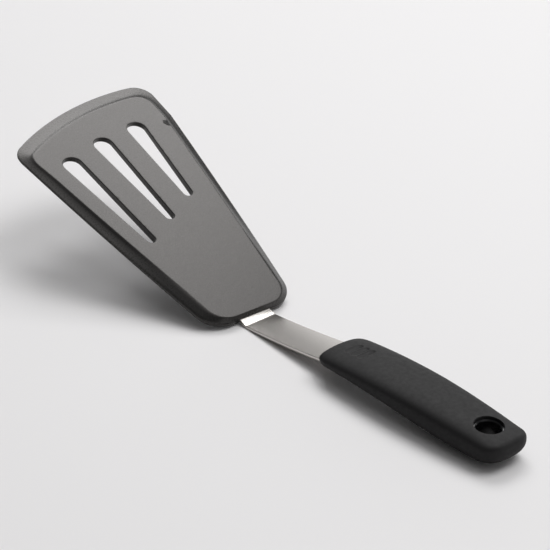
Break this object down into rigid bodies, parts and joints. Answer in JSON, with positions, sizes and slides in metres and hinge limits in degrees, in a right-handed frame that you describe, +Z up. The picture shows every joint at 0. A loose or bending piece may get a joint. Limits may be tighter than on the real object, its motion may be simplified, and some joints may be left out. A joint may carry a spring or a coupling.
{
  "type": "slotted flexible turner",
  "caption": "Kitchen turner: a slotted silicone blade over a spring-steel core, on a bent steel shank, with a soft grip and a hanging hole.",
  "frame": {"origin": "middle of the bounding box at floor level", "axes": "+X from the blade to the butt of the grip, +Y to the side on which the blade is longer, +Z up from the floor"},
  "size_m": [0.317, 0.091, 0.061],
  "materials": {
    "silicone": "satin",
    "spring_steel": "plain",
    "brushed_steel": "brushed across the strip",
    "hard_plastic": "gloss",
    "soft_grip": "matte"
  },
  "bodies": {
    "root": {"silicone_head": "silicone", "spring_core": "spring_steel", "core_rivets": "spring_steel", "shank": "brushed_steel", "handle_core": "hard_plastic", "grip_sleeve": "soft_grip"}
  },
  "joints": []
}
